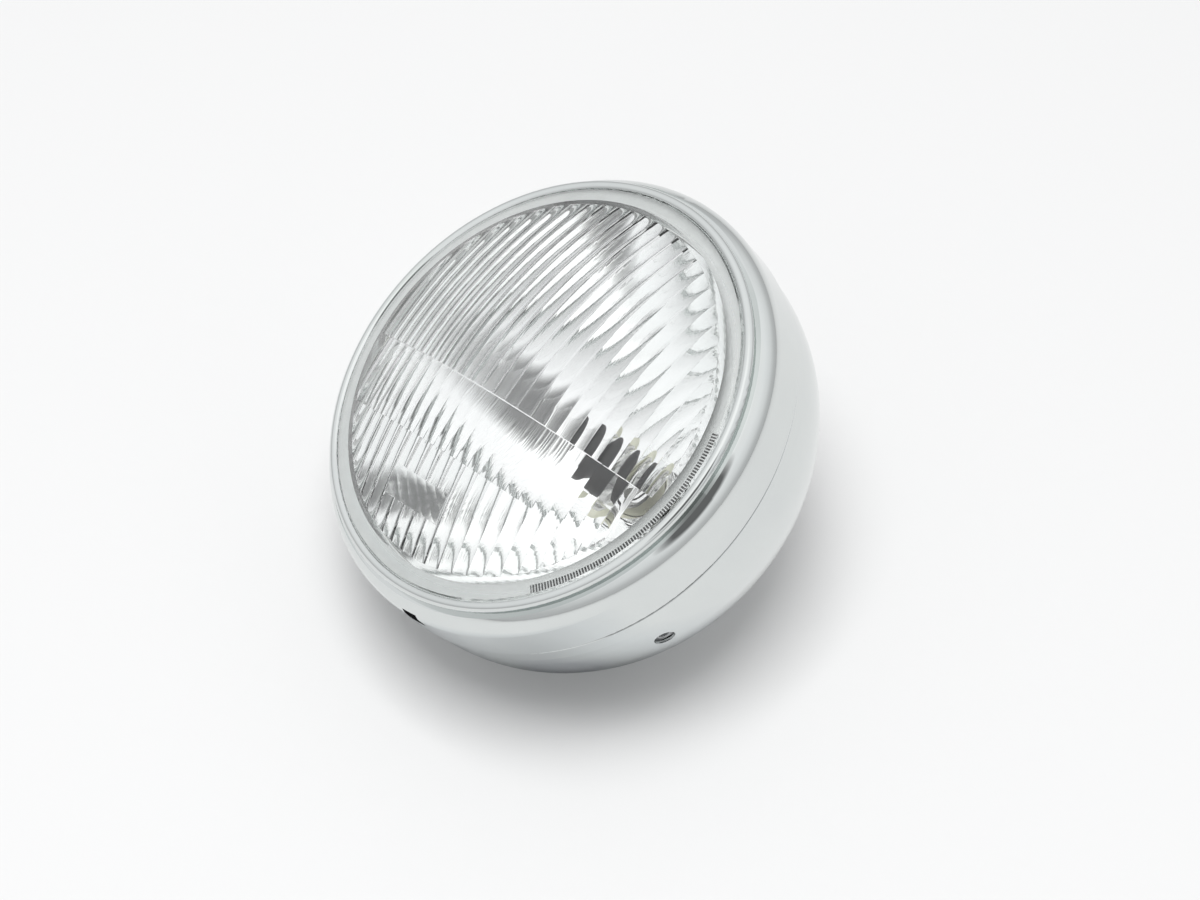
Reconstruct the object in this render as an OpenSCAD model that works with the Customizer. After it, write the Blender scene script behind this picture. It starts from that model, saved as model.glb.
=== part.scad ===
// Round motorcycle headlight: a chromed steel bucket and rim around a
// domed, fluted glass lens, with the reflector, the bulb and the small
// fixings that hold them together.
// The lens looks along -Y, +X is to the right as one faces the lens, and
// +Z is up when the lamp stands on its bottom mount. The origin is the
// centre of the box around the lamp, which lies on the lamp's axis.
// Depths are counted backwards from the edge of the visible glass.

/* [Lens] */
// Radius of the glass that shows inside the rim
glass_radius = 72; // [70:0.5:76]
// Radius of the dome's outer curve
dome_radius = 144; // [125:1:180]
// Thickness of the domed glass
glass_thick = 3.5; // [3:0.1:4.5]
// Radius inside which the glass is fluted
pattern_radius = 64.5; // [60:0.5:66]
// Width of one flute
flute_pitch = 5.4; // [4.5:0.1:7]
// Height of the flutes above the cross step
flute_depth = 0.45; // [0.3:0.05:0.8]
// Height of the weak flutes on the wedge below the cross step
band_flute_depth = 0.2; // [0.2:0.1:0.5]
// Height of the flutes in the field under the wedge
low_flute_depth = 0.5; // [0.3:0.1:0.8]
// Distance of the cross step below the lamp's axis
step_drop = 10; // [6:0.5:14]
// Distance below the axis at which the wedge runs out
band_drop = 32.8; // [30:0.4:38]
// Thickness of the wedge at the cross step
wedge_height = 2.3; // [1.5:0.1:2.6]

/* [Rim] */
// Depth of the rim from the glass edge to the seam
rim_depth = 24; // [22:0.5:30]
// Thickness of the rim's sheet
rim_thick = 0.8; // [0.6:0.1:1]
// Outer radius of the half-round bead's section
bead_radius = 1.8; // [1.6:0.1:2]
// Radius of the rounded shoulder behind the bead
shoulder_radius = 9; // [8.4:0.2:9.6]
// Width of the groove between the bead and the shoulder
groove_width = 1.2; // [0.8:0.1:1.4]
// Depth of the groove's floor behind the glass edge
groove_floor = 4.4; // [4:0.1:4.8]
// Width of the release slot at the bottom of the rim
slot_width = 6; // [4:0.5:10]
// Height of that slot, cut in from the seam
slot_height = 1.5; // [1:0.1:3]

/* [Bucket] */
// Thickness of the bucket's sheet
bucket_thick = 0.9; // [0.7:0.1:1.2]
// Depth of the bucket's back behind the glass edge
bucket_pole = 93.6; // [93:0.2:100]
// Radius of the wide curve across the bucket's back
back_curve = 94; // [90:1:110]
// Depth at which the bucket starts to curve in
curve_start = 31; // [30:0.5:34]
// Diameter of the two empty rim screw holes
screw_hole = 7; // [6:0.1:7.5]
// Depth of the screw holes behind the seam
screw_depth = 18; // [16:0.5:19]
// Angle of the screw holes below the horizontal
screw_angle = 30.5; // [20:0.5:40]
// Diameter of the cable inlet
inlet_bore = 7; // [5:0.5:10]

/* [Bottom mount] */
// Depth of the bottom mount behind the glass edge
mount_depth = 50; // [48:0.5:54]
// Diameter of the tapped bore in the mount
mount_bore = 6.8; // [6:0.1:8.5]
// Outer radius of the tapped boss
boss_radius = 8; // [7:0.5:9]
// Distance of the boss's inner end from the lamp's axis
boss_end = 61.5; // [58:0.5:64]

/* [Reflector] */
// Focal length of the reflector
focal_length = 17.8; // [17.6:0.1:18.2]
// Thickness of the reflector's sheet
reflector_thick = 0.8; // [0.6:0.1:1]

/* [Bulb] */
// Outer radius of the bulb's glass
bulb_radius = 8.5; // [7:0.1:8.8]

/* [Fits] */
// Play between parts that rest on one another
seat_gap = 0.05; // [0.02:0.01:0.1]
// Play between the rim's skirt and the bucket's mouth
skirt_gap = 0.25; // [0.15:0.05:0.3]

/* [Show] */
// Node to show alone

/* [Hidden] */
$fn = 96;

// The dome's centre and the two ends of the lamp
dome_centre = sqrt(pow(dome_radius, 2) - pow(glass_radius, 2));
front_depth = dome_centre - dome_radius;
mid_depth = (front_depth + bucket_pole) / 2;
dome_inner = dome_radius - glass_thick;

// The wedge's inner face is the dome's, shifted down and back
wedge_lean = band_drop / sqrt(pow(dome_inner, 2) - pow(band_drop, 2));
wedge_shift = wedge_height * dome_inner
  / (wedge_lean * sqrt(pow(dome_inner, 2) - pow(step_drop, 2)) - step_drop);
wedge_back = wedge_shift * wedge_lean;

// The glass's flange and what lies behind it
bead_out = glass_radius + 0.2 + 2 * bead_radius;
bead_mid = glass_radius + 0.2 + bead_radius;
bead_depth = bead_radius - 0.3;
ledge_depth = 3.0;
flange_out = bead_out - rim_thick - 0.2;
flange_in = glass_radius - 5.5;
glass_back = 8;
seal_thick = 2;
unit_back = glass_back + seal_thick + reflector_thick;

// The rim's shoulder passes through the foot of the bead
skirt_out = bead_out + 4.55;
skirt_in = skirt_out - rim_thick;
shoulder_mid = skirt_out - shoulder_radius;
groove_depth = 2.78;
shoulder_depth = groove_depth
  + sqrt(pow(shoulder_radius, 2) - pow(bead_out - shoulder_mid, 2));

// The bucket's oval: one small and one wide arc that meet smoothly
bucket_out = skirt_in - skirt_gap;
bucket_mouth = rim_depth - 6;
lip_drop = 0.4;
lip_end = rim_depth + 1.4;
back_mid = bucket_pole - back_curve;
arc_rise = curve_start - back_mid;
side_curve = (pow(back_curve, 2) - pow(bucket_out, 2) - pow(arc_rise, 2))
  / (2 * (back_curve - bucket_out));
side_mid = bucket_out - side_curve;
arc_gap = back_curve - side_curve;

// The reflector and its neck
refl_rim = flange_in - 0.5;
refl_top = glass_back + seal_thick;
refl_pole = refl_top + pow(refl_rim, 2) / (4 * focal_length);
neck_in = 13;
neck_out = neck_in + reflector_thick;
neck_end = refl_pole + 1.5;
focus_depth = refl_pole - focal_length;

// The bulb stands on the rear face of its collar
collar_face = neck_end + seat_gap;
collar_back = collar_face + 0.9;
cap_flange = collar_back + seat_gap;
cap_end = cap_flange + 6.5;
tip_mid = focus_depth - 1.2;

// The rim's brackets lie inside the bucket's wall
hole_depth = rim_depth + screw_depth;
tongue_out = 76;
tongue_thick = 1.5;

// Depth runs along +Y once a piece stands in the lamp
module in_lamp() {
  translate([0, -mid_depth, 0])
    rotate([-90, 0, 0])
      children();
}

// A profile of radius and depth, turned around the lamp's axis
module turned() {
  rotate_extrude($fn = 180)
    children();
}

// A profile of radius and depth, made into a strip of even width
module strip(wide) {
  rotate([90, 0, 0])
    linear_extrude(wide, center = true)
      children();
}

// A block from one depth to another around a radial line
module arm_box(r1, r2, wide, d1, d2) {
  translate([r1, -wide / 2, d1])
    cube([r2 - r1, wide, d2 - d1]);
}

// The lens

// Section of the plain glass: dome, flange and ledge
module glass_section() {
  intersection() {
    difference() {
      translate([0, dome_centre])
        circle(r = dome_radius, $fn = 200);
      translate([0, dome_centre])
        circle(r = dome_inner, $fn = 200);
    }
    translate([0, front_depth - 1])
      square([glass_radius, glass_back - front_depth]);
  }
  intersection() {
    translate([0, dome_centre])
      circle(r = dome_radius, $fn = 200);
    translate([flange_in, 0])
      square([glass_radius - flange_in, glass_back]);
  }
  translate([glass_radius - 0.5, ledge_depth + seat_gap])
    square([flange_out - glass_radius + 0.5,
      glass_back - ledge_depth - seat_gap]);
}

// Row of round flutes on the inside of the dome, high ones or low ones
module flute_row(high) {
  swell = (pow(flute_pitch / 2, 2) + pow(high, 2)) / (2 * high);
  reach = dome_inner - high + swell;
  step = flute_pitch / dome_inner * 180 / PI;
  last = ceil(pattern_radius / flute_pitch);
  translate([0, 0, dome_centre])
    rotate([0, -90, 0])
      rotate([0, 0, 180 - 30])
        rotate_extrude(angle = 60, $fn = 96)
          intersection() {
            for (i = [-last : last])
              translate([reach * cos(i * step), reach * sin(i * step)])
                circle(r = swell, $fn = 64);
            difference() {
              circle(r = dome_inner + glass_thick / 3, $fn = 200);
              circle(r = dome_inner - high - 0.5, $fn = 200);
            }
            translate([dome_inner / 2, -dome_inner / 2])
              square([dome_inner, dome_inner]);
          }
}

// Outline of the field above the cross step
module upper_field() {
  intersection() {
    circle(r = pattern_radius, $fn = 120);
    translate([-80, -80])
      square([160, 80 + step_drop]);
  }
}

// Outline of the wedge just below the step
module band_field() {
  side = pattern_radius - 6.2;
  intersection() {
    circle(r = pattern_radius, $fn = 120);
    translate([-side, step_drop])
      square([2 * side, band_drop - step_drop]);
  }
}

// Outline of the lowest field, with a plain panel left bare
module lower_field() {
  side = pattern_radius - 11.2;
  difference() {
    intersection() {
      circle(r = pattern_radius, $fn = 120);
      translate([-side, band_drop])
        square([2 * side, 80]);
    }
    translate([-19.5, 43])
      square([26, 9.5]);
  }
}

// Wedge that is thick at the step, with the weak flutes on its inner face
module wedge_block() {
  intersection() {
    union() {
      difference() {
        translate([0, 0, dome_centre])
          sphere(r = dome_inner + 1, $fn = 200);
        translate([0, wedge_shift, dome_centre + wedge_back])
          sphere(r = dome_inner, $fn = 200);
      }
      translate([0, wedge_shift, wedge_back])
        flute_row(band_flute_depth);
    }
    translate([0, 0, -25])
      linear_extrude(45)
        band_field();
  }
}

module lens() {
  color([0.86, 0.92, 0.92, 0.35])
    in_lamp() {
      turned()
        glass_section();
      intersection() {
        flute_row(flute_depth);
        translate([0, 0, -25])
          linear_extrude(45)
            upper_field();
      }
      wedge_block();
      intersection() {
        flute_row(low_flute_depth);
        translate([0, 0, -25])
          linear_extrude(45)
            lower_field();
      }
    }
}

module lens_seal() {
  color([0.08, 0.08, 0.08])
    in_lamp()
      turned()
        translate([flange_in - 0.3, glass_back + seat_gap])
          square([flange_out - flange_in + 0.3, seal_thick - 2 * seat_gap]);
}

// The reflector

// Depth of the mirror at a given distance from the axis
function mirror_depth(r) = refl_pole - pow(r, 2) / (4 * focal_length);
function mirror_lean(r) = sqrt(1 + pow(r / (2 * focal_length), 2));

module reflector() {
  steps = 30;
  shell = reflector_thick;
  foot = neck_in + shell;
  front = [for (i = [0 : steps])
    let (r = refl_rim + (neck_in - refl_rim) * i / steps)
      [r, mirror_depth(r)]];
  back = [for (i = [0 : steps])
    let (r = foot + 0.3 + (refl_rim - 1 - foot) * i / steps)
      [r + shell * r / (2 * focal_length) / mirror_lean(r),
        mirror_depth(r) + shell / mirror_lean(r)]];
  color([0.85, 0.86, 0.88])
    in_lamp()
      turned()
        polygon(concat([[flange_out + 0.6, refl_top]], front,
          [[neck_in, neck_end], [foot, neck_end],
            [foot, mirror_depth(foot) + shell]],
          back,
          [[refl_rim + 1, refl_top + shell],
            [flange_out + 0.6, refl_top + shell]]));
}

// Four spring clips press the lens and reflector against the rim
module unit_clips() {
  d = unit_back + seat_gap;
  top = d + 3.6;
  color([0.7, 0.71, 0.72])
    in_lamp()
      for (a = [60, 120, 225, 315])
        rotate([0, 0, a])
          strip(12)
            polygon([[flange_in + 2, d], [flange_out + 0.4, d],
              [skirt_in - 0.4, top - 0.8], [skirt_in - 0.4, top],
              [skirt_in - 1.1, top], [flange_out + 0.1, d + 0.8],
              [flange_in + 2, d + 0.8]]);
}

// The rim

// Outside form of the rim, from the bead round the shoulder to the seam
module rim_form() {
  edge = rim_thick / 2;
  translate([bead_mid, bead_depth])
    circle(r = bead_radius, $fn = 60);
  translate([bead_mid - bead_radius, bead_depth])
    square([2 * bead_radius, ledge_depth - bead_depth]);
  intersection() {
    translate([shoulder_mid, shoulder_depth])
      circle(r = shoulder_radius, $fn = 120);
    translate([bead_mid, groove_depth])
      square([20, 40]);
  }
  translate([bead_mid, shoulder_depth])
    square([skirt_out - bead_mid, rim_depth - edge - shoulder_depth]);
  translate([skirt_out - edge, rim_depth - edge])
    circle(r = edge, $fn = 40);
}

// What the sheet leaves open on its inner side
module rim_hollow() {
  difference() {
    union() {
      translate([bead_mid, bead_depth])
        circle(r = bead_radius - rim_thick, $fn = 60);
      translate([bead_mid - bead_radius + rim_thick, bead_depth])
        square([2 * (bead_radius - rim_thick), 30]);
      intersection() {
        translate([shoulder_mid, shoulder_depth])
          circle(r = shoulder_radius - rim_thick, $fn = 120);
        translate([bead_mid - 1, 0])
          square([20, 40]);
      }
      translate([bead_mid - 1, shoulder_depth])
        square([skirt_in - bead_mid + 1, 40]);
    }
    translate([bead_out - rim_thick, 0])
      square([groove_width + 2 * rim_thick, groove_floor + rim_thick]);
  }
}

module rim_section() {
  difference() {
    rim_form();
    rim_hollow();
    translate([bead_out, 0])
      square([groove_width, groove_floor]);
  }
}

module rim() {
  lance = unit_back + 3.6 + 2 * seat_gap;
  color([0.8, 0.8, 0.82])
    in_lamp() {
      difference() {
        turned()
          rim_section();
        rotate([0, 0, 90])
          arm_box(skirt_in - 2, skirt_out + 1, slot_width,
            rim_depth - slot_height, rim_depth + 1);
      }
      for (a = [60, 120, 225, 315])
        rotate([0, 0, a])
          intersection() {
            arm_box(skirt_in - 2, skirt_out, 7, lance, lance + 1);
            cylinder(r = skirt_in + rim_thick / 2, h = 30, $fn = 180);
          }
    }
}

// Foot that is spot-welded to the inside of the skirt
module weld_foot() {
  intersection() {
    difference() {
      cylinder(r = skirt_in - seat_gap, h = 40, $fn = 180);
      translate([0, 0, -1])
        cylinder(r = skirt_in - tongue_thick, h = 42, $fn = 180);
    }
    arm_box(skirt_in - 3, skirt_in + 1, 14, unit_back + 0.8, rim_depth - 8);
  }
}

// Bent tongue that runs from the foot back inside the bucket
module tongue(far, face) {
  start = rim_depth - 9.5;
  strip(10)
    polygon([[skirt_in - tongue_thick, start], [skirt_in - 0.4, start],
      [skirt_in - 0.4, start + 1.5], [face, bucket_mouth + 0.6],
      [face, far], [face - tongue_thick, far],
      [face - tongue_thick, bucket_mouth - 0.2],
      [skirt_in - tongue_thick, start + 0.8]]);
}

module rim_bracket() {
  difference() {
    union() {
      weld_foot();
      tongue(hole_depth + 3.2, tongue_out);
    }
    translate([tongue_out - 5, 0, hole_depth])
      rotate([0, 90, 0])
        cylinder(d = 4.4, h = 10, $fn = 40);
  }
}

module rim_bracket_right() {
  color([0.66, 0.67, 0.69])
    in_lamp()
      rotate([0, 0, screw_angle])
        rim_bracket();
}

module rim_bracket_left() {
  color([0.66, 0.67, 0.69])
    in_lamp()
      rotate([0, 0, 180 - screw_angle])
        rim_bracket();
}

module bracket_nuts() {
  color([0.7, 0.66, 0.5])
    in_lamp()
      for (a = [screw_angle, 180 - screw_angle])
        rotate([0, 0, a])
          translate([tongue_out - tongue_thick - seat_gap, 0, hole_depth])
            rotate([0, -90, 0])
              difference() {
                cylinder(d = 9.2, h = 4, $fn = 6);
                translate([0, 0, -1])
                  cylinder(d = 4.2, h = 6, $fn = 40);
              }
}

module rim_top_tongue() {
  color([0.66, 0.67, 0.69])
    in_lamp()
      rotate([0, 0, -90]) {
        weld_foot();
        tongue(bucket_mouth + 11, tongue_out + 1);
      }
}

// The bucket

// Solid section of the bowl, drawn in by a given distance
module bowl_section(inset, mouth) {
  turn = (back_curve - inset) / arc_gap;
  meet = side_mid * turn;
  polygon([[0, mouth], [bucket_out - lip_drop - inset, mouth],
    [bucket_out - lip_drop - inset, lip_end],
    [bucket_out - inset, lip_end + 0.6],
    [bucket_out - inset, curve_start], [0, curve_start]]);
  intersection() {
    translate([0, back_mid])
      circle(r = back_curve - inset, $fn = 200);
    translate([0, curve_start])
      square([120, 120]);
    union() {
      translate([side_mid, curve_start])
        circle(r = side_curve - inset, $fn = 200);
      square([meet, 200]);
    }
  }
}

// Places a piece on the back at the cable inlet, pointing outward
module at_inlet() {
  translate([0, 0, back_mid])
    rotate([-22, 0, 0])
      children();
}

module bucket() {
  color([0.8, 0.8, 0.82])
    in_lamp()
      difference() {
        turned()
          difference() {
            bowl_section(0, bucket_mouth);
            bowl_section(bucket_thick, bucket_mouth - 1);
          }
        for (a = [screw_angle, 180 - screw_angle])
          rotate([0, 0, a])
            translate([60, 0, hole_depth])
              rotate([0, 90, 0])
                cylinder(d = screw_hole, h = 30, $fn = 40);
        translate([0, 55, mount_depth])
          rotate([-90, 0, 0])
            cylinder(r = boss_radius + seat_gap, h = 40, $fn = 60);
        at_inlet()
          translate([0, 0, back_curve - 10])
            cylinder(r = 8 + seat_gap, h = 20, $fn = 60);
      }
}

// Tapped boss that is welded into the underside of the bucket, its outer
// end ground flush with the bucket
module mount_boss() {
  color([0.62, 0.63, 0.65])
    in_lamp()
      intersection() {
        turned()
          bowl_section(0, bucket_mouth);
        translate([0, boss_end, mount_depth])
          rotate([-90, 0, 0])
            difference() {
              cylinder(r = boss_radius, h = 30, $fn = 60);
              translate([0, 0, -1])
                cylinder(d = mount_bore, h = 32, $fn = 48);
            }
      }
}

module cable_grommet() {
  color([0.07, 0.07, 0.07])
    in_lamp()
      difference() {
        union() {
          difference() {
            at_inlet()
              translate([0, 0, back_curve - 1])
                cylinder(r = 11, h = 3.2, $fn = 60);
            translate([0, 0, back_mid])
              sphere(r = back_curve + seat_gap, $fn = 200);
          }
          at_inlet()
            translate([0, 0, back_curve - 3])
              cylinder(r = 8, h = 4, $fn = 60);
          intersection() {
            at_inlet()
              translate([0, 0, back_curve - 3.4])
                cylinder(r = 10.4, h = 3.4, $fn = 60);
            translate([0, 0, back_mid])
              sphere(r = back_curve - bucket_thick - seat_gap, $fn = 200);
          }
        }
        at_inlet()
          translate([0, 0, back_curve - 8])
            cylinder(d = inlet_bore, h = 16, $fn = 48);
      }
}

// The bulb and its holder

module bulb_collar() {
  color([0.78, 0.72, 0.42])
    in_lamp() {
      turned() {
        translate([neck_out + seat_gap, neck_end - 2.4])
          square([1, collar_back - neck_end + 2.4]);
        translate([10.4, collar_face])
          square([neck_out + 1 + seat_gap - 10.4, 0.9]);
      }
      for (a = [0, 180])
        rotate([0, 0, a])
          difference() {
            arm_box(neck_out + 0.6, neck_out + 2.2, 6,
              neck_end - 2, collar_back + 4.5);
            translate([neck_out, 0, cap_flange + 2.1])
              rotate([0, 90, 0])
                cylinder(d = 1.8, h = 6, $fn = 30);
          }
    }
}

module bulb_capsule() {
  r = bulb_radius;
  color([0.8, 0.85, 0.85, 0.4])
    in_lamp()
      turned()
        difference() {
          union() {
            intersection() {
              translate([0, tip_mid])
                circle(r = r, $fn = 80);
              translate([0, tip_mid - 20])
                square([20, 21]);
            }
            translate([0, tip_mid])
              square([r, 13.5]);
            polygon([[0, tip_mid + 13.5], [r, tip_mid + 13.5],
              [5.5, tip_mid + 16.5], [0, tip_mid + 16.5]]);
            translate([0, tip_mid + 16])
              square([5.5, collar_face - tip_mid - 16]);
          }
          intersection() {
            translate([0, tip_mid])
              circle(r = r - 1, $fn = 80);
            translate([0, tip_mid - 20])
              square([20, 21]);
          }
          translate([-1, tip_mid])
            square([r, 13]);
          polygon([[-1, tip_mid + 13], [r - 1, tip_mid + 13],
            [4, tip_mid + 15], [-1, tip_mid + 15]]);
        }
}

module bulb_cap() {
  color([0.76, 0.66, 0.38])
    in_lamp()
      turned()
        difference() {
          union() {
            translate([0, neck_end - 5])
              square([10.2, cap_flange - neck_end + 5.5]);
            translate([0, cap_flange])
              square([12.4, 1.2]);
            translate([0, cap_flange + 1])
              square([9.5, cap_end - cap_flange - 1]);
          }
          translate([-1, neck_end - 6])
            square([10.2, collar_face - neck_end + 6 + seat_gap]);
        }
}

// Close-wound coil along the lamp's axis
module coil(d, turns) {
  for (i = [0 : turns - 1])
    translate([0, 0, d + i * 0.5])
      rotate_extrude($fn = 40)
        translate([0.6, 0])
          circle(r = 0.3, $fn = 20);
}

module bulb_filament_main() {
  color([0.5, 0.5, 0.5])
    in_lamp()
      translate([0, 0, focus_depth - 1.6])
        coil(0, 9);
}

module bulb_filament_dip() {
  color([0.5, 0.5, 0.5])
    in_lamp()
      translate([0, -1.6, focus_depth - 6])
        coil(0, 7);
}

// Small cup under the dipped filament
module bulb_dip_shield() {
  color([0.72, 0.73, 0.75])
    in_lamp()
      translate([0, -1.6, focus_depth - 6.9])
        difference() {
          cylinder(r = 2.9, h = 4.5, $fn = 48);
          translate([0, 0, 0.5])
            cylinder(r = 2.5, h = 5, $fn = 48);
          translate([-4, -4.8, -1])
            cube([8, 4, 8]);
        }
}

// Wires that carry the filaments and the shield, inside the glass
module bulb_supports() {
  floor_depth = tip_mid + 15 - seat_gap;
  color([0.6, 0.6, 0.6])
    in_lamp() {
      translate([0, 0.6, focus_depth + 2.75])
        cylinder(r = 0.35, h = floor_depth - focus_depth - 2.75, $fn = 20);
      translate([0, -2.2, focus_depth - 2.65])
        cylinder(r = 0.35, h = floor_depth - focus_depth + 2.65, $fn = 20);
      translate([2.7, -1.6, focus_depth - 2.35])
        cylinder(r = 0.35, h = floor_depth - focus_depth + 2.35, $fn = 20);
    }
}

module bulb_insulator() {
  color([0.16, 0.16, 0.17])
    in_lamp()
      difference() {
        translate([0, 0, cap_end + seat_gap])
          cylinder(r = 9.3, h = 2, $fn = 60);
        for (a = [0, 90, 180])
          rotate([0, 0, a])
            arm_box(5.1 - seat_gap, 5.9 + seat_gap, 6.3 + 2 * seat_gap,
              cap_end - 1, cap_end + 4);
      }
}

module bulb_terminals() {
  color([0.78, 0.66, 0.36])
    in_lamp()
      for (a = [0, 90, 180])
        rotate([0, 0, a])
          arm_box(5.1, 5.9, 6.3, cap_end + seat_gap, cap_end + 7);
}

// Ring of spring wire that holds the bulb's flange on the collar
module bulb_spring() {
  wire = 0.8;
  d = cap_flange + 1.2 + wire + seat_gap;
  color([0.75, 0.76, 0.78])
    in_lamp() {
      translate([0, 0, d])
        rotate_extrude($fn = 90)
          translate([11.2, 0])
            circle(r = wire, $fn = 24);
      for (a = [0, 180])
        rotate([0, 0, a])
          translate([11.2, 0, d])
            rotate([0, 90, 0])
              cylinder(r = wire, h = neck_out + 2.7 - 11.2, $fn = 24);
    }
}

module bulb_boot() {
  front = mirror_depth(neck_out + 3.2) + 1.2;
  color([0.06, 0.06, 0.06])
    in_lamp()
      turned()
        polygon([[neck_out + 3.2, front], [neck_out + 5.6, front],
          [neck_out + 5.6, front + 2], [neck_out + 4.8, front + 2.4],
          [neck_out + 4.8, collar_back + 5.5], [12.4, cap_end + 0.6],
          [12.4, cap_end + 1.6], [9.6, cap_end + 1.6],
          [9.6, cap_end - 1], [11.2, cap_end - 1],
          [neck_out + 3.2, collar_back + 4.8]]);
}

lens();
lens_seal();
reflector();
unit_clips();
rim();
rim_bracket_right();
rim_bracket_left();
bracket_nuts();
rim_top_tongue();
bucket();
mount_boss();
cable_grommet();
bulb_collar();
bulb_capsule();
bulb_cap();
bulb_filament_main();
bulb_filament_dip();
bulb_dip_shield();
bulb_supports();
bulb_insulator();
bulb_terminals();
bulb_spring();
bulb_boot();
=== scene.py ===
# %% [markdown]
# # A round motorcycle headlight
# The lamp lies on its back on a white table, in soft studio light. Its
# solids come from the frame, each in its place. This lesson gives them
# their finishes and adds the black paint on the end of the bulb.

# %% Load the frame and measure it
import math
import bpy
from mathutils import Matrix, Vector


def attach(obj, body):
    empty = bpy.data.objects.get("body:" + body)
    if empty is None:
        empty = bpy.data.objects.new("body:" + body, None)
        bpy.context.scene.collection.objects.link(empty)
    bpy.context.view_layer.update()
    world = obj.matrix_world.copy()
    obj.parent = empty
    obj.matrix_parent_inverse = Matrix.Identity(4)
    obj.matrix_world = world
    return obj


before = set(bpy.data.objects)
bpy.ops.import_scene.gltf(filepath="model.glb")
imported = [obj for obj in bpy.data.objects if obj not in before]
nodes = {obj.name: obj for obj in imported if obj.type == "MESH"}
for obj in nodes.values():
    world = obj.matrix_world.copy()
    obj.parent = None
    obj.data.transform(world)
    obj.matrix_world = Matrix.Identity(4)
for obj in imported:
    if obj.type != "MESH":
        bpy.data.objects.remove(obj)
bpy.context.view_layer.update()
glass_edge = -0.037154

# %% [markdown]
# ## Camera
# The photo was taken from the lamp's right and a little below its axis,
# with a long lens. The place and the two directions come from fitting the
# glass edge, the groove and the seam as circles in perspective.

# %% Place the camera
camera_place = (0.61503, -0.7427, -0.10058)
right = Vector((0.66339, 0.46508, 0.58619)).normalized()
forward = Vector((-0.63062, 0.76917, 0.10342)).normalized()
up = right.cross(forward)
camera_data = bpy.data.cameras.new("photo_camera")
camera_data.sensor_width = 36
camera_data.lens = 90
camera_data.clip_start = 0.01
camera = bpy.data.objects.new("photo_camera", camera_data)
bpy.context.scene.collection.objects.link(camera)
turn = Matrix((right, up, -forward)).transposed().to_4x4()
camera.matrix_world = Matrix.Translation(camera_place) @ turn
bpy.context.scene.camera = camera
print("camera up", [round(v, 3) for v in up])

# %% [markdown]
# ## Helpers for shader trees
# All the materials and the world are built from the same few kinds of
# node. Each helper adds one node, feeds it and gives back its result. A
# plain number is set on the socket, and a socket is linked.

# %% Feed sockets and add single nodes
def feed(tree, socket, value):
    if isinstance(value, bpy.types.NodeSocket):
        tree.links.new(value, socket)
    else:
        socket.default_value = value


def maths(tree, kind, *values):
    node = tree.nodes.new("ShaderNodeMath")
    node.operation = kind
    for k, value in enumerate(values):
        feed(tree, node.inputs[k], value)
    return node.outputs[0]


def vectors(tree, kind, *values):
    node = tree.nodes.new("ShaderNodeVectorMath")
    node.operation = kind
    for k, value in enumerate(values):
        feed(tree, node.inputs[k], value)
    return node.outputs["Value"]


def map_range(tree, value, from_ends, to_ends):
    node = tree.nodes.new("ShaderNodeMapRange")
    keys = ("Value", "From Min", "From Max", "To Min", "To Max")
    for key, item in zip(keys, (value, *from_ends, *to_ends)):
        feed(tree, node.inputs[key], item)
    return node.outputs["Result"]


# %% Add ramps, mixes, coordinates and materials
def ramp(tree, value, first, last, between):
    node = tree.nodes.new("ShaderNodeValToRGB")
    elements = node.color_ramp.elements
    for k, (place, colour) in enumerate((first, last)):
        elements[k].position = place
        elements[k].color = (*colour, 1)
    for place, colour in between:
        elements.new(place).color = (*colour, 1)
    tree.links.new(value, node.inputs["Fac"])
    return node.outputs["Color"]


def mix_colours(tree, factor, a, b):
    node = tree.nodes.new("ShaderNodeMix")
    node.data_type = "RGBA"
    for key, item in (("Factor", factor), ("A", a), ("B", b)):
        feed(tree, node.inputs[key], item)
    return node.outputs["Result"]


def coordinates(tree, kind="Object"):
    return tree.nodes.new("ShaderNodeTexCoord").outputs[kind]


def axes(tree):
    node = tree.nodes.new("ShaderNodeSeparateXYZ")
    tree.links.new(coordinates(tree), node.inputs[0])
    return node.outputs["X"], node.outputs["Y"], node.outputs["Z"]


def new_material(name):
    made = bpy.data.materials.new(name)
    made.use_nodes = True
    return made


# %% [markdown]
# ## Table
# The table is one big sheet that touches the bowl from below. It is seen
# only from above, so that it never hides the lamp from behind.

# %% Lay the table under the bowl
table_up = Vector((0.2856, -0.8814, 0.3762)).normalized()
toward = (forward - table_up * forward.dot(table_up)).normalized() * -1
lowest = min((v.co.dot(table_up) for n in ("bucket", "cable_grommet", "rim")
              for v in nodes[n].data.vertices))
table_height = lowest - 0.0002
bpy.ops.object.select_all(action="DESELECT")
bpy.ops.mesh.primitive_circle_add(vertices=96, radius=6, fill_type="NGON")
table = bpy.context.active_object
table.name = "table_sheet"
tilt = table_up.to_track_quat("Z", "Y").to_matrix().to_4x4()
table.data.transform(Matrix.Translation(table_up * table_height) @ tilt)
print("table lies at", round(lowest, 4), "m below the origin")

# %% [markdown]
# Mirrors see a painted shadow on the table under the lamp: for mirror
# rays only, the table's colour turns dark there, darker than its own
# shading, and fades towards the open table. All else sees one white.

# %% Colour the table and paint the shadow that mirrors see
table_white = (0.82, 0.82, 0.82, 1)
painted_shadow_middle = table_up * table_height - right * 0.008 + toward * 0.07
painted_shadow_first, painted_shadow_last = (0.07, (0.32, 0.325, 0.34)), (0.42, (0.78, 0.78, 0.78))
painted_shadow_between = [(place, (tone * 0.985, tone, tone * 1.015))
                for place, tone in ((0.12, 0.44), (0.2, 0.6), (0.28, 0.7))]
painted_shadow_scale = 5.0

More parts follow.
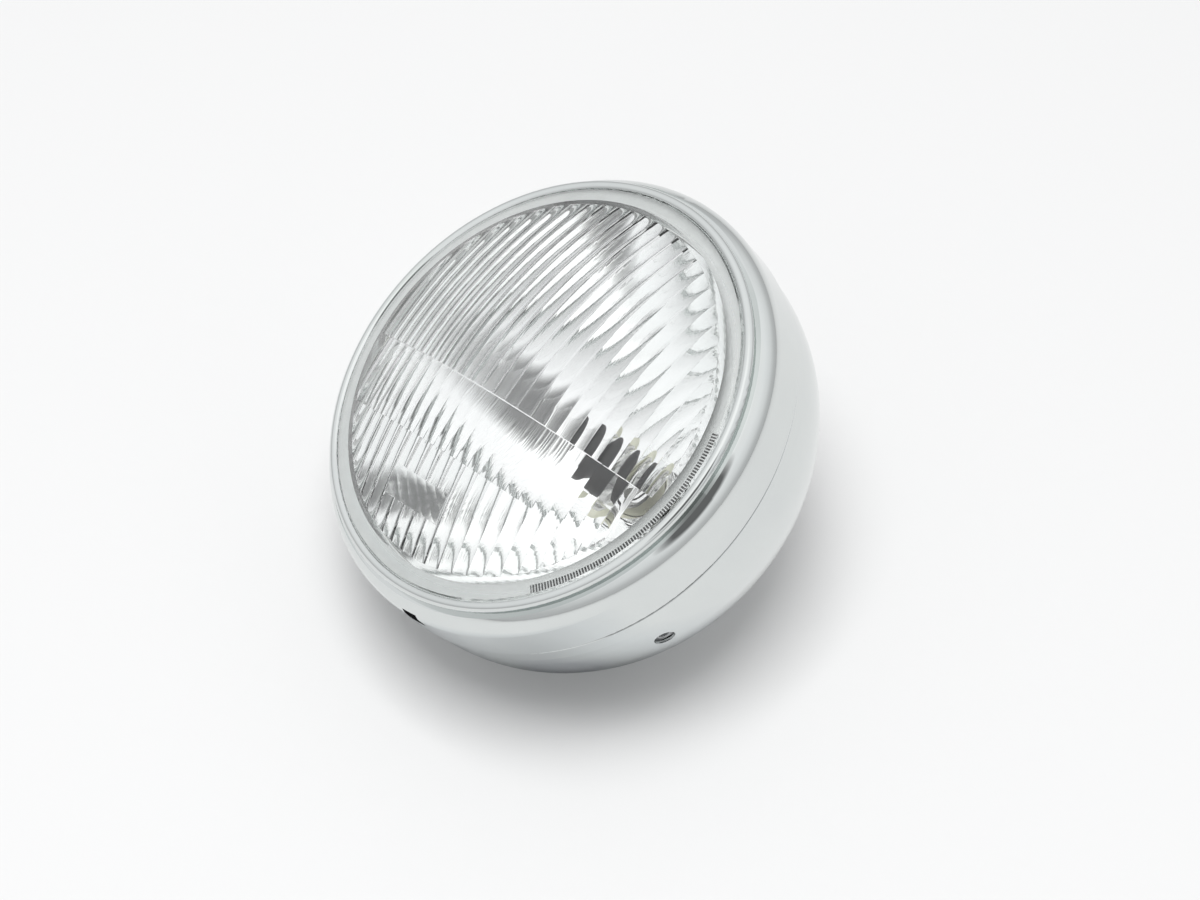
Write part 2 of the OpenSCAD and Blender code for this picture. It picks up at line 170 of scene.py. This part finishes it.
table_paint = new_material("white_table")
tree = table_paint.node_tree
tree.nodes.remove(tree.nodes["Principled BSDF"])
away = vectors(tree, "DISTANCE", coordinates(tree), painted_shadow_middle)
# painted shadow: mirror rays see the table dark under the lamp, fading out towards the open
# table
painted_shadow = ramp(tree, maths(tree, "MULTIPLY", away, painted_shadow_scale),
            painted_shadow_first, painted_shadow_last, painted_shadow_between)
mirrored = tree.nodes.new("ShaderNodeLightPath").outputs["Is Glossy Ray"]
white = tree.nodes.new("ShaderNodeBsdfDiffuse")
tree.links.new(mix_colours(tree, mirrored, table_white, painted_shadow), white.inputs["Color"])
glow = tree.nodes.new("ShaderNodeEmission")
glow.inputs["Color"].default_value = (1, 1, 1, 1)
glow.inputs["Strength"].default_value = 0.02
both = tree.nodes.new("ShaderNodeAddShader")
tree.links.new(white.outputs[0], both.inputs[0])
tree.links.new(glow.outputs[0], both.inputs[1])
clear = tree.nodes.new("ShaderNodeBsdfTransparent")
face = tree.nodes.new("ShaderNodeNewGeometry")
pick = tree.nodes.new("ShaderNodeMixShader")
tree.links.new(face.outputs["Backfacing"], pick.inputs[0])
tree.links.new(both.outputs[0], pick.inputs[1])
tree.links.new(clear.outputs[0], pick.inputs[2])
tree.links.new(pick.outputs[0], tree.nodes["Material Output"].inputs["Surface"])
table.data.materials.append(table_paint)
print("table spot fades out", painted_shadow_last[0] / painted_shadow_scale, "m from its middle")

# %% [markdown]
# ## Light
# A white tent surrounds the lamp. It is brightest overhead and darker
# towards the horizon, because chrome shows its surroundings and an even
# tent would leave the bowl and the rim without any form. The camera,
# mirrors and glass see the tent at full strength. Matt surfaces get less
# of it, so that the box overhead casts the soft shadow on the table.
#
# Behind the camera stands a dark figure, which only mirrors and glass
# see. It draws the grey patch in the middle of the lens. What leaves the
# glass to the right meets a brighter side of the tent.

# %% Name the parts of the tent
tent_first, tent_last = (0.0, (0.5, 0.5, 0.5)), (1.0, (1, 1, 1))
tent_between = [(place, (tone * 0.99, tone, tone * 1.01))
                for place, tone in ((0.5, 0.55), (0.58, 0.6), (0.7, 0.82), (0.85, 0.97))]
matt_level = 0.6
figure_way = (forward * -1 + up * -0.04 + right * 0.27).normalized()
figure_edge = (math.cos(math.radians(22)), math.cos(math.radians(13)))
figure_tone = 0.16
overhead, overhead_level = (0.86, 0.97), 1.22
right_side, right_levels = (0.6, 0.85), (1.04, 1.35)

# %% Light the tent
world = bpy.data.worlds.new("white_tent")
bpy.context.scene.world = world
world.use_nodes = True
sky = world.node_tree
sky.nodes.clear()
way = coordinates(sky, "Generated")
ray = sky.nodes.new("ShaderNodeLightPath").outputs
high = vectors(sky, "DOT_PRODUCT", way, table_up)
tone = ramp(sky, maths(sky, "MULTIPLY_ADD", high, 0.5, 0.5),
            tent_first, tent_last, tent_between)
shown = maths(sky, "MAXIMUM", maths(sky, "MAXIMUM", ray["Is Camera Ray"], ray["Is Glossy Ray"]),
              ray["Is Transmission Ray"])
level = map_range(sky, shown, (0.0, 1.0), (matt_level, 1.0))
figure_shade = map_range(sky, ray["Is Camera Ray"], (0.0, 1.0), (figure_tone, 1.0))
figure = map_range(sky, vectors(sky, "DOT_PRODUCT", way, figure_way), figure_edge,
                   (1.0, figure_shade))
top_glow = map_range(sky, high, overhead, (1.0, overhead_level))
side_glow = map_range(sky, vectors(sky, "DOT_PRODUCT", way, right), right_side, right_levels)
through_glass = map_range(sky, ray["Is Transmission Ray"], (0.0, 1.0), (1.0, side_glow))
strength = level
for part in (figure, top_glow, through_glass):
    strength = maths(sky, "MULTIPLY", strength, part)
tent = sky.nodes.new("ShaderNodeBackground")
sky.links.new(tone, tent.inputs["Color"])
sky.links.new(strength, tent.inputs["Strength"])
sky.links.new(tent.outputs[0], sky.nodes.new("ShaderNodeOutputWorld").inputs["Surface"])
print("tent has", len(sky.nodes), "nodes")

# %% Hang the soft box
box_place = (table_up * 1.0 - right * 0.05 + toward * 0.14) * 2.2
box_light = bpy.data.lights.new("top_box", "AREA")
box_light.shape = "RECTANGLE"
box_light.size, box_light.size_y = 1.0, 1.0
box_light.energy = 34.2
soft_box = bpy.data.objects.new("top_box", box_light)
bpy.context.scene.collection.objects.link(soft_box)
soft_box.matrix_world = Matrix.Translation(box_place) @ (
    box_place.to_track_quat("Z", "Y").to_matrix().to_4x4())
soft_box.visible_glossy = False
soft_box.visible_transmission = False
print("soft box hangs", round(box_place.length, 2), "m away")

# %% [markdown]
# ## Shared wear
# One node group serves all the finishes. It spreads a soft noise over a
# piece and turns it into a mask, a roughness and a normal.

# %% Make the wear group
wear = bpy.data.node_groups.new("soft_wear", "ShaderNodeTree")
for label, value in (("Scale", 60.0), ("Low", 0.1), ("High", 0.2), ("Ripple", 0.02)):
    wear.interface.new_socket(name=label, in_out="INPUT",
                              socket_type="NodeSocketFloat").default_value = value
for label, kind in (("Mask", "Float"), ("Roughness", "Float"), ("Normal", "Vector")):
    wear.interface.new_socket(name=label, in_out="OUTPUT", socket_type="NodeSocket" + kind)
wear_in = wear.nodes.new("NodeGroupInput").outputs
wear_out = wear.nodes.new("NodeGroupOutput").inputs
cloud = wear.nodes.new("ShaderNodeTexNoise")
cloud.inputs["Detail"].default_value = 4.0
cloud.inputs["Roughness"].default_value = 0.6
wear.links.new(coordinates(wear), cloud.inputs["Vector"])
wear.links.new(wear_in["Scale"], cloud.inputs["Scale"])
mask = map_range(wear, cloud.outputs["Fac"], (0.3, 0.7), (0.0, 1.0))
rough = map_range(wear, mask, (0.0, 1.0), (wear_in["Low"], wear_in["High"]))
bump = wear.nodes.new("ShaderNodeBump")
bump.inputs["Distance"].default_value = 0.0004
wear.links.new(cloud.outputs["Fac"], bump.inputs["Height"])
wear.links.new(wear_in["Ripple"], bump.inputs["Strength"])
wear.links.new(mask, wear_out["Mask"])
wear.links.new(rough, wear_out["Roughness"])
wear.links.new(bump.outputs["Normal"], wear_out["Normal"])
print("wear group has", len(wear.nodes), "nodes")

# %% [markdown]
# ## Finishes
# Each finish starts from the Principled shader. What varies over a piece
# comes from the wear group; what stays the same all over is set straight
# on the shader's own sockets.

# %% Write one helper for all finishes
def finish(name, pale, deep, metallic, roughness, scale=60.0, ripple=0.02, **more):
    made = new_material(name)
    tree = made.node_tree
    shader = tree.nodes["Principled BSDF"]
    shader.inputs["Metallic"].default_value = metallic
    for key, value in more.items():
        shader.inputs[key.replace("_", " ")].default_value = value
    worn = tree.nodes.new("ShaderNodeGroup")
    worn.node_tree = wear
    for key, value in zip(("Scale", "Low", "High", "Ripple"), (scale, *roughness, ripple)):
        worn.inputs[key].default_value = value
    colour = mix_colours(tree, worn.outputs["Mask"], (*pale, 1), (*deep, 1))
    tree.links.new(colour, shader.inputs["Base Color"])
    tree.links.new(worn.outputs["Roughness"], shader.inputs["Roughness"])
    tree.links.new(worn.outputs["Normal"], shader.inputs["Normal"])
    return made


# %% Mix the metals
chrome = finish("bright_chrome", (0.74, 0.765, 0.755), (0.71, 0.735, 0.73), 1.0,
                (0.03, 0.06), 40.0, 0.015)
mirror = finish("silvered_dish", (0.985, 0.99, 0.988), (0.955, 0.965, 0.962), 1.0,
                (0.03, 0.07), 50.0, 0.02)
zinc = finish("zinc_plate", (0.72, 0.73, 0.74), (0.64, 0.65, 0.66), 0.3,
              (0.42, 0.55), 220.0, 0.06)
yellow_zinc = finish("yellow_zinc", (0.9, 0.9, 0.77), (0.84, 0.84, 0.68), 1.0,
                     (0.3, 0.45), 180.0, 0.05)
steel = finish("bright_steel", (0.66, 0.66, 0.64), (0.56, 0.56, 0.54), 1.0,
               (0.18, 0.3), 160.0, 0.04)
wire = finish("grey_wire", (0.32, 0.32, 0.34), (0.22, 0.22, 0.24), 1.0,
              (0.35, 0.5), 400.0, 0.05)

# %% Mix the soft and dark materials
rubber = finish("black_rubber", (0.014, 0.014, 0.015), (0.022, 0.022, 0.022), 0.0,
                (0.5, 0.68), 260.0, 0.12)
seal_grey = finish("grey_seal", (0.74, 0.75, 0.74), (0.69, 0.7, 0.69), 0.0,
                   (0.5, 0.65), 200.0, 0.08)
plastic = finish("black_moulding", (0.018, 0.018, 0.02), (0.03, 0.03, 0.032), 0.0,
                 (0.4, 0.55), 180.0, 0.06)
black_paint = finish("black_paint", (0.02, 0.02, 0.021), (0.035, 0.035, 0.036), 0.0,
                     (0.4, 0.55), 300.0, 0.05, Specular_IOR_Level=0.2)
print("finishes so far:", len(bpy.data.materials))

# %% [markdown]
# ## Painted shade and marks in the finishes
# Three places are darker than the finish around them. Two are painted
# shade: the bucket's lip under the rim, where the gap at the seam lies in
# shade, and a dark field low in the rim's shoulder for the shaded inside
# of a slot, which is not cut into the rim. The third is a row of fine
# teeth on the seal, behind the near side of the glass. Each is a mask on
# Object coordinates that mixes a dark colour into the finish.

# %% Write a helper that darkens
def darken(made, mask, colour):
    tree = made.node_tree
    base = tree.nodes["Principled BSDF"].inputs["Base Color"]
    clean = base.links[0].from_socket
    tree.links.new(mix_colours(tree, mask, clean, (*colour, 1)), base)


def inside(tree, value, middle, half):
    return maths(tree, "COMPARE", value, middle, half)


# %% Paint shade on the bucket's lip under the rim
painted_shade_end, painted_shade_fade = glass_edge + 0.0255, 0.0004
bucket_chrome = chrome.copy()
bucket_chrome.name = "bucket_chrome"
tree = bucket_chrome.node_tree
along = axes(tree)[1]
# painted shade: the bucket turns dark in front of the lip's end, where the gap under the rim
# lies in shade
darken(bucket_chrome, map_range(tree, along, (painted_shade_end, painted_shade_end + painted_shade_fade), (1.0, 0.0)),
       (0.03, 0.03, 0.03))

# %% Paint the shade of a slot low in the rim
painted_slot_middle, painted_slot_half = (0.0068, glass_edge + 0.0108), (0.0030, 0.0035)
rim_chrome = chrome.copy()
rim_chrome.name = "rim_chrome"
tree = rim_chrome.node_tree
across, along, upward = axes(tree)
# painted shade: a dark, matt, non-metal field stands for the shaded inside of a slot; the rim
# is not cut there
painted_slot_shade = maths(tree, "MULTIPLY", maths(tree, "LESS_THAN", upward, 0.0), maths(
    tree, "MULTIPLY", inside(tree, across, painted_slot_middle[0], painted_slot_half[0]),
    inside(tree, along, painted_slot_middle[1], painted_slot_half[1])))
darken(rim_chrome, painted_slot_shade, (0.01, 0.01, 0.011))
rim_shader = tree.nodes["Principled BSDF"]
rim_shader.inputs["Specular IOR Level"].default_value = 0.0
tree.links.new(maths(tree, "SUBTRACT", 1.0, painted_slot_shade), rim_shader.inputs["Metallic"])

# %% Mark the teeth on the seal
tooth_radius, tooth_half, tooth_pitch = 0.0672, 0.0011, 0.001
tooth_share = -0.35
row_middle, row_half = math.radians(-18), math.radians(33)
tree = seal_grey.node_tree
across, along, upward = axes(tree)
reach = maths(tree, "POWER", maths(
    tree, "ADD", maths(tree, "MULTIPLY", across, across),
    maths(tree, "MULTIPLY", upward, upward)), 0.5)
angle = maths(tree, "ARCTAN2", upward, across)
wave = maths(tree, "SINE", maths(
    tree, "MULTIPLY", angle, 2 * math.pi * tooth_radius / tooth_pitch))
in_row = maths(tree, "MULTIPLY", inside(tree, reach, tooth_radius, tooth_half),
               inside(tree, angle, row_middle, row_half))
darken(seal_grey, maths(tree, "MULTIPLY", maths(tree, "GREATER_THAN", wave, tooth_share),
                        in_row), (0.02, 0.02, 0.02))
print("seal has teeth on", round(math.degrees(2 * row_half)), "degrees")

# %% [markdown]
# ## Glass
# Clear glass would throw a full shadow on what lies behind it. Shadow
# rays and diffuse rays therefore pass straight through, with a small loss.

# %% Melt the two glasses
glass = finish("lens_glass", (1.0, 1.0, 1.0), (0.994, 1.0, 0.997), 0.0,
               (0.0, 0.012), 30.0, 0.01, Transmission_Weight=1.0, IOR=1.5)
bulb_glass = finish("bulb_glass", (1.0, 1.0, 1.0), (0.98, 0.99, 0.99), 0.0,
                    (0.0, 0.02), 90.0, 0.01, Transmission_Weight=1.0, IOR=1.46)


def let_light_in(made):
    tree = made.node_tree
    rays = tree.nodes.new("ShaderNodeLightPath").outputs
    open_air = tree.nodes.new("ShaderNodeBsdfTransparent")
    open_air.inputs["Color"].default_value = (0.93, 0.94, 0.94, 1)
    choose = tree.nodes.new("ShaderNodeMixShader")
    tree.links.new(maths(tree, "MAXIMUM", rays["Is Shadow Ray"], rays["Is Diffuse Ray"]),
                   choose.inputs[0])
    tree.links.new(tree.nodes["Principled BSDF"].outputs[0], choose.inputs[1])
    tree.links.new(open_air.outputs[0], choose.inputs[2])
    tree.links.new(choose.outputs[0], tree.nodes["Material Output"].inputs["Surface"])


let_light_in(glass)
let_light_in(bulb_glass)

# %% [markdown]
# ## Dressing
# Every solid gets its finish in the slots that it has already.

# %% Dress the solids
dress = {"lens": glass, "bulb_capsule": bulb_glass, "reflector": mirror,
         "rim": rim_chrome, "bucket": bucket_chrome, "lens_seal": seal_grey,
         "cable_grommet": rubber, "bulb_boot": rubber, "unit_clips": zinc,
         "rim_bracket_right": zinc, "rim_bracket_left": zinc,
         "bracket_nuts": zinc, "rim_top_tongue": zinc,
         "mount_boss": zinc, "bulb_collar": yellow_zinc, "bulb_cap": steel,
         "bulb_filament_main": wire, "bulb_filament_dip": wire,
         "bulb_dip_shield": wire, "bulb_supports": wire,
         "bulb_insulator": plastic, "bulb_terminals": steel,
         "bulb_spring": steel}
for name, look in dress.items():
    slots = nodes[name].data.materials
    if not slots:
        slots.append(look)
    for k in range(len(slots)):
        slots[k] = look
print("dressed", len(dress), "of", len(nodes), "nodes")

# %% [markdown]
# ## Painted tip of the bulb
# The front end of the bulb is painted black, so that no light leaves it
# straight ahead. It shows through the lens as a dark oval. The paint is a
# thin skin of its own: half a sphere, whose rim is drawn back along the
# glass to where the paint ends.

# %% Shape the round end
tip_middle, tip_radius, paint_end = 0.052178 + glass_edge, 0.0085, 0.0165
paint_thick, rim_reach = 0.00006, 0.00001
bpy.ops.object.select_all(action="DESELECT")
bpy.ops.mesh.primitive_uv_sphere_add(segments=64, ring_count=32,
                                     radius=tip_radius + paint_thick,
                                     location=(0, tip_middle, 0),
                                     rotation=(math.pi / 2, 0, 0))
paint = bpy.context.active_object
paint.name = "bulb_tip_paint"
bpy.ops.object.transform_apply(location=True, rotation=True, scale=True)
bpy.ops.object.mode_set(mode="EDIT")
bpy.ops.mesh.select_all(action="SELECT")
bpy.ops.mesh.bisect(plane_co=(0, tip_middle, 0), plane_no=(0, 1, 0), clear_outer=True)
bpy.ops.mesh.select_all(action="DESELECT")
bpy.ops.object.mode_set(mode="OBJECT")
print("round end has", len(paint.data.polygons), "faces")

# %% Draw the skin back along the glass
for edge in paint.data.edges:
    ends = [paint.data.vertices[k].co.y for k in edge.vertices]
    edge.select = min(ends) > tip_middle - rim_reach
bpy.ops.object.mode_set(mode="EDIT")
bpy.ops.mesh.select_mode(type="EDGE")
bpy.ops.mesh.extrude_region_move(
    TRANSFORM_OT_translate={"value": (0, paint_end - tip_middle, 0)})
bpy.ops.object.mode_set(mode="OBJECT")
bpy.ops.object.shade_smooth_by_angle(angle=math.radians(40))
paint.data.materials.append(black_paint)
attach(paint, "root")
print("painted tip has", len(paint.data.polygons), "faces")

# %% [markdown]
# ## Render settings
# Light crosses the fluted glass, the dish and the bulb many times before
# it leaves, so the rays get more bounces than usual.

# %% Set the view and the bounces
bpy.context.scene.view_settings.view_transform = "Standard"
bpy.context.scene.cycles.max_bounces = 32
bpy.context.scene.cycles.glossy_bounces = 16
bpy.context.scene.cycles.transmission_bounces = 32
